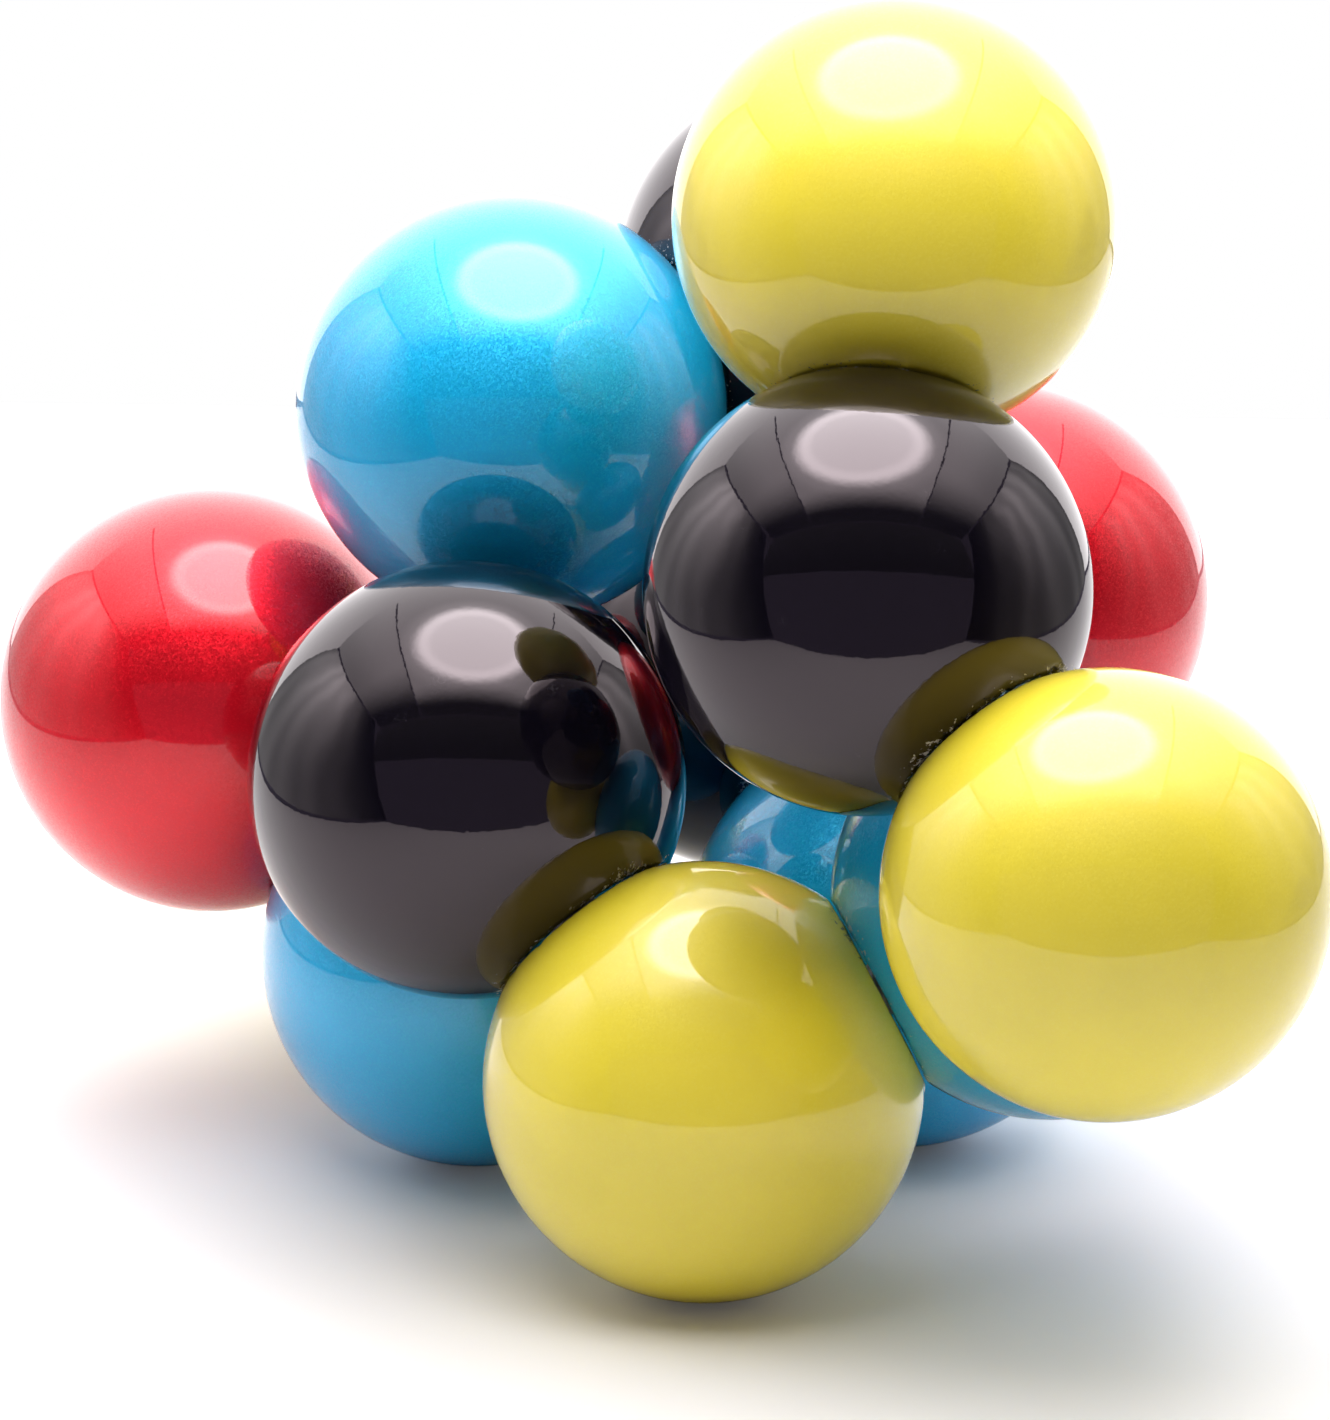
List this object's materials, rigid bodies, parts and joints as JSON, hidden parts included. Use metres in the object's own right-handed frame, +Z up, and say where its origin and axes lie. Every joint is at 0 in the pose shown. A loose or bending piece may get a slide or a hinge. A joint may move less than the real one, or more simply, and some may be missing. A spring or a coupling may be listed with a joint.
{
  "type": "twisty snake puzzle",
  "caption": "Chain of glossy lacquered wooden balls joined flat to flat by hidden swivels, folded into a compact cluster that stands on a table.",
  "frame": {"origin": "centre of the bounding box on the table plane that the folded chain stands on", "axes": "+Z up, square to the plane under the three balls that touch the table; -Y is the front, the side the chain is looked at from"},
  "size_m": [0.0974, 0.1206, 0.0945],
  "materials": {
    "lacquer_yellow": "turned wood under high-gloss yellow pearl lacquer",
    "lacquer_cyan": "turned wood under high-gloss turquoise metallic lacquer",
    "lacquer_red": "turned wood under high-gloss red metallic lacquer",
    "lacquer_black": "turned wood under high-gloss black lacquer",
    "pin_steel": "turned steel pin",
    "spring_steel": "tempered spring steel",
    "bush_brass": "turned brass"
  },
  "bodies": {
    "link_01": {"ball_01": "lacquer_yellow", "pin_01": "pin_steel", "washer_01": "spring_steel"},
    "link_02": {"ball_02": "lacquer_black", "pin_02": "pin_steel", "washer_02": "spring_steel", "bush_02": "bush_brass"},
    "link_03": {"ball_03": "lacquer_yellow", "pin_03": "pin_steel", "washer_03": "spring_steel", "bush_03": "bush_brass"},
    "link_04": {"ball_04": "lacquer_cyan", "pin_04": "pin_steel", "washer_04": "spring_steel", "bush_04": "bush_brass"},
    "link_05": {"ball_05": "lacquer_yellow", "pin_05": "pin_steel", "washer_05": "spring_steel", "bush_05": "bush_brass"},
    "link_06": {"ball_06": "lacquer_black", "pin_06": "pin_steel", "washer_06": "spring_steel", "bush_06": "bush_brass"},
    "link_07": {"ball_07": "lacquer_cyan", "pin_07": "pin_steel", "washer_07": "spring_steel", "bush_07": "bush_brass"},
    "link_08": {"ball_08": "lacquer_red", "pin_08": "pin_steel", "washer_08": "spring_steel", "bush_08": "bush_brass"},
    "link_09": {"ball_09": "lacquer_yellow", "pin_09": "pin_steel", "washer_09": "spring_steel", "bush_09": "bush_brass"},
    "link_10": {"ball_10": "lacquer_black", "pin_10": "pin_steel", "washer_10": "spring_steel", "bush_10": "bush_brass"},
    "link_11": {"ball_11": "lacquer_cyan", "pin_11": "pin_steel", "washer_11": "spring_steel", "bush_11": "bush_brass"},
    "link_12": {"ball_12": "lacquer_red", "pin_12": "pin_steel", "washer_12": "spring_steel", "bush_12": "bush_brass"},
    "link_13": {"ball_13": "lacquer_black", "pin_13": "pin_steel", "washer_13": "spring_steel", "bush_13": "bush_brass"},
    "link_14": {"ball_14": "lacquer_cyan", "bush_14": "bush_brass"}
  },
  "joints": [
    {"name": "swivel_01", "type": "hinge", "parent": "link_02", "child": "link_01", "pos_m": [0.01667, -0.0224, 0.06688], "axis": [0.0599, 0.5751, 0.8159], "continuous": true},
    {"name": "swivel_02", "type": "hinge", "parent": "link_03", "child": "link_02", "pos_m": [0.02428, -0.03746, 0.04621], "axis": [-0.5952, 0.4855, 0.6403], "range_deg": [-170, 49]},
    {"name": "swivel_03", "type": "hinge", "parent": "link_04", "child": "link_03", "pos_m": [0.03116, -0.03085, 0.033], "axis": [0.1104, -0.9508, 0.2894], "range_deg": [-175, 29]},
    {"name": "swivel_04", "type": "hinge", "parent": "link_05", "child": "link_04", "pos_m": [0.01712, -0.01946, 0.02245], "axis": [0.8786, 0.1485, 0.454], "range_deg": [-16, 129]},
    {"name": "swivel_05", "type": "hinge", "parent": "link_06", "child": "link_05", "pos_m": [-0.00411, -0.01588, 0.02563], "axis": [0.6159, -0.4005, -0.6784], "range_deg": [-7, 163]},
    {"name": "swivel_06", "type": "hinge", "parent": "link_07", "child": "link_06", "pos_m": [-0.01268, 0.00024, 0.02563], "axis": [-0.0124, -0.7346, 0.6784], "range_deg": [-121, 2.5]},
    {"name": "swivel_07", "type": "hinge", "parent": "link_07", "child": "link_08", "pos_m": [-0.02261, 0.01657, 0.02403], "axis": [-0.7122, 0.4157, 0.5656], "range_deg": [-2, 157]},
    {"name": "swivel_08", "type": "hinge", "parent": "link_08", "child": "link_09", "pos_m": [-0.02531, 0.03341, 0.02687], "axis": [0.5226, 0.7702, -0.3656], "range_deg": [-175, 0.7]},
    {"name": "swivel_09", "type": "hinge", "parent": "link_09", "child": "link_10", "pos_m": [-0.00496, 0.0411, 0.02657], "axis": [0.9106, -0.2289, 0.3442], "range_deg": [-0.7, 1.2]},
    {"name": "swivel_10", "type": "hinge", "parent": "link_10", "child": "link_11", "pos_m": [0.01359, 0.02734, 0.02373], "axis": [0.3952, -0.74, -0.5442], "range_deg": [-150, 2.5]},
    {"name": "swivel_11", "type": "hinge", "parent": "link_11", "child": "link_12", "pos_m": [0.02245, 0.01505, 0.02971], "axis": [0.2287, -0.1255, 0.9654], "range_deg": [-11, 1.4]},
    {"name": "swivel_12", "type": "hinge", "parent": "link_12", "child": "link_13", "pos_m": [0.01944, 0.02132, 0.0533], "axis": [-0.4406, 0.5669, 0.696], "range_deg": [-6, 29]},
    {"name": "swivel_13", "type": "hinge", "parent": "link_13", "child": "link_14", "pos_m": [0.00147, 0.02198, 0.06001], "axis": [-0.8243, -0.5204, -0.2232], "continuous": true}
  ]
}
